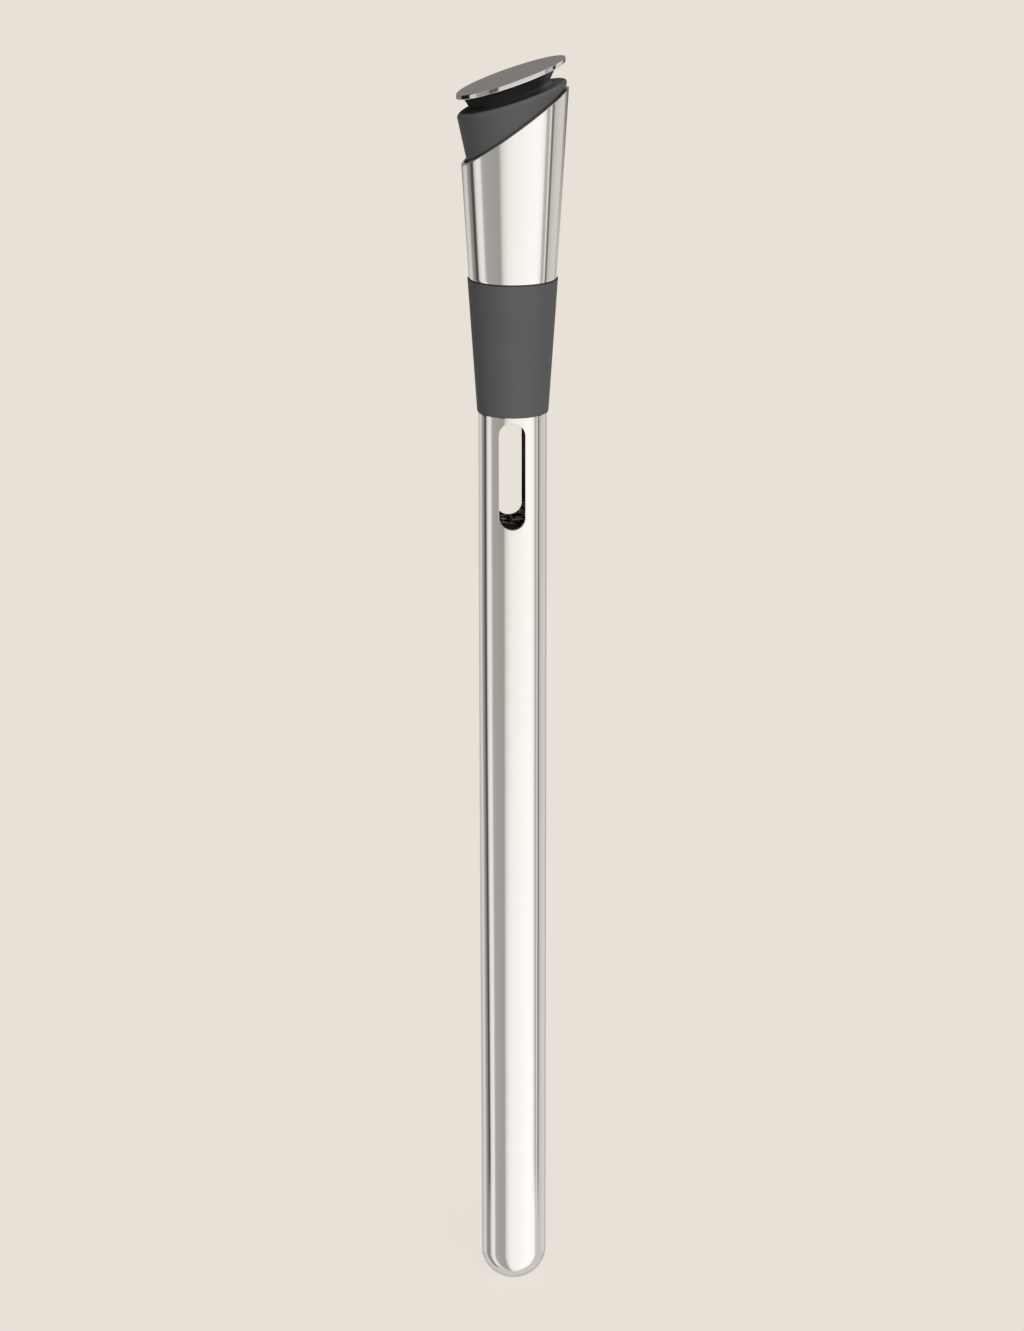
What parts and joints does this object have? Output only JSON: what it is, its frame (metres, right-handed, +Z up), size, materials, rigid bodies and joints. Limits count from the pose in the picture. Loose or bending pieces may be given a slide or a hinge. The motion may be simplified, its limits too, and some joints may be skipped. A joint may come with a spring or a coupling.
{
  "type": "wine chiller pourer",
  "caption": "Gel-filled steel rod that hangs in a wine bottle's neck by a tapered silicone sleeve, with a slanted pouring lip closed by a stopper with a slanted steel cap.",
  "frame": {"origin": "on the rod's axis, at the lower edge of the tapered sleeve, where the bottle's mouth starts to grip it", "axes": "+Z up along the rod's axis towards the cap, +X towards the pouring lip"},
  "size_m": [0.0277, 0.027, 0.3235],
  "materials": {
    "polished_steel": "mirror-polished stainless steel",
    "satin_steel": "satin stainless steel",
    "silicone": "matte dark grey silicone",
    "black_rubber": "smooth",
    "black_plastic": "fine moulded",
    "gel": "clear cooling gel"
  },
  "bodies": {
    "root": {"chill_rod": "polished_steel", "inlet_tube": "polished_steel", "neck_collar": "polished_steel", "cooling_gel": "gel", "gel_bulkhead": "black_plastic", "neck_sleeve": "silicone", "spout_shell": "polished_steel", "pourer_core": "black_plastic", "stem_oring": "black_rubber", "stopper_plug": "silicone", "stopper_cap": "satin_steel"}
  },
  "joints": []
}
